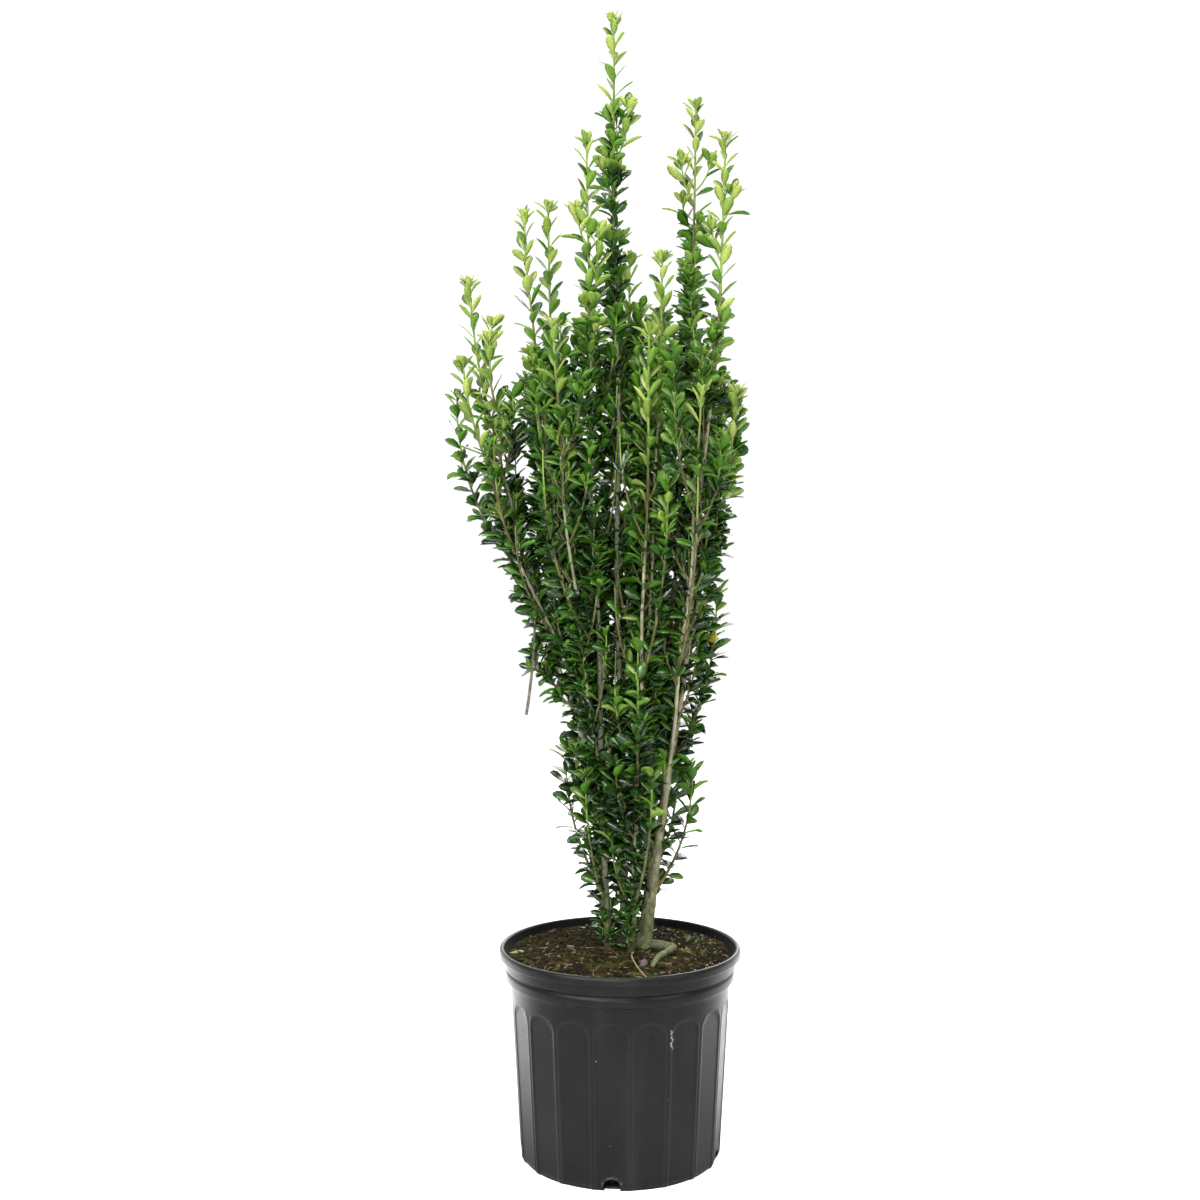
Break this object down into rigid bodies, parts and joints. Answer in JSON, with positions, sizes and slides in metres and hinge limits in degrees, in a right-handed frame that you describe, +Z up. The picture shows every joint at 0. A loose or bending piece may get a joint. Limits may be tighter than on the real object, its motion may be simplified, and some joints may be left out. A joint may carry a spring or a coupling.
{
  "type": "potted japanese holly",
  "caption": "Narrow upright evergreen shrub with slender leafy stems that fan out as they rise, growing in a round ribbed nursery pot filled with potting mix.",
  "frame": {"origin": "centre of the pot's flat underside", "axes": "+Z up, +X to the right and -Y towards the viewer, as the plant stands in the picture"},
  "size_m": [0.3609, 0.3081, 1.3269],
  "materials": {
    "pot_plastic": "dark charcoal moulded plastic, slightly glossy and dusty",
    "potting_soil": "moist bark and peat mix with moss",
    "bark": "thin tan-grey bark, mossy at the foot",
    "dead_wood": "dry grey bark",
    "young_foliage": "bright satin leaves of the season",
    "foliage": "deep green glossy leaves"
  },
  "bodies": {
    "root": {"pot": "pot_plastic", "soil": "potting_soil", "stem_right": "bark", "stem_left": "bark", "stem_centre": "bark", "stem_front": "bark", "stem_back_right": "bark", "stem_back_left": "bark", "bough_inner_right": "bark", "bough_front_right": "bark", "bough_low_right": "bark", "bough_front_left": "bark", "bough_low_left": "bark", "bough_far_left": "bark", "bough_mid_left": "bark", "bough_outer_left": "bark", "bough_upper_centre": "bark", "bough_rear_middle": "bark", "bough_rear_left": "bark", "bough_rear_right": "bark", "dead_twig": "dead_wood", "crown_right": "young_foliage", "crown_left": "young_foliage", "crown_centre": "young_foliage", "crown_front": "young_foliage", "crown_back_right": "young_foliage", "crown_back_left": "young_foliage", "crown_inner_right": "young_foliage", "crown_front_right": "young_foliage", "crown_low_right": "young_foliage", "crown_front_left": "young_foliage", "crown_low_left": "young_foliage", "crown_far_left": "young_foliage", "crown_mid_left": "young_foliage", "crown_outer_left": "young_foliage", "crown_upper_centre": "young_foliage", "crown_rear_middle": "young_foliage", "crown_rear_left": "young_foliage", "crown_rear_right": "young_foliage", "side_right_1": "foliage", "side_right_2": "foliage", "side_right_3": "foliage", "side_left_1": "foliage", "side_left_2": "foliage", "side_left_3": "foliage", "side_centre_1": "foliage", "side_centre_2": "foliage", "side_centre_3": "foliage", "side_front_1": "foliage", "side_front_2": "foliage", "side_front_3": "foliage", "side_back_right_1": "foliage", "side_back_right_2": "foliage", "side_back_right_3": "foliage", "side_back_left_1": "foliage", "side_back_left_2": "foliage", "side_back_left_3": "foliage", "side_front_right_1": "foliage", "side_front_left_1": "foliage", "side_far_left_1": "foliage"}
  },
  "joints": []
}
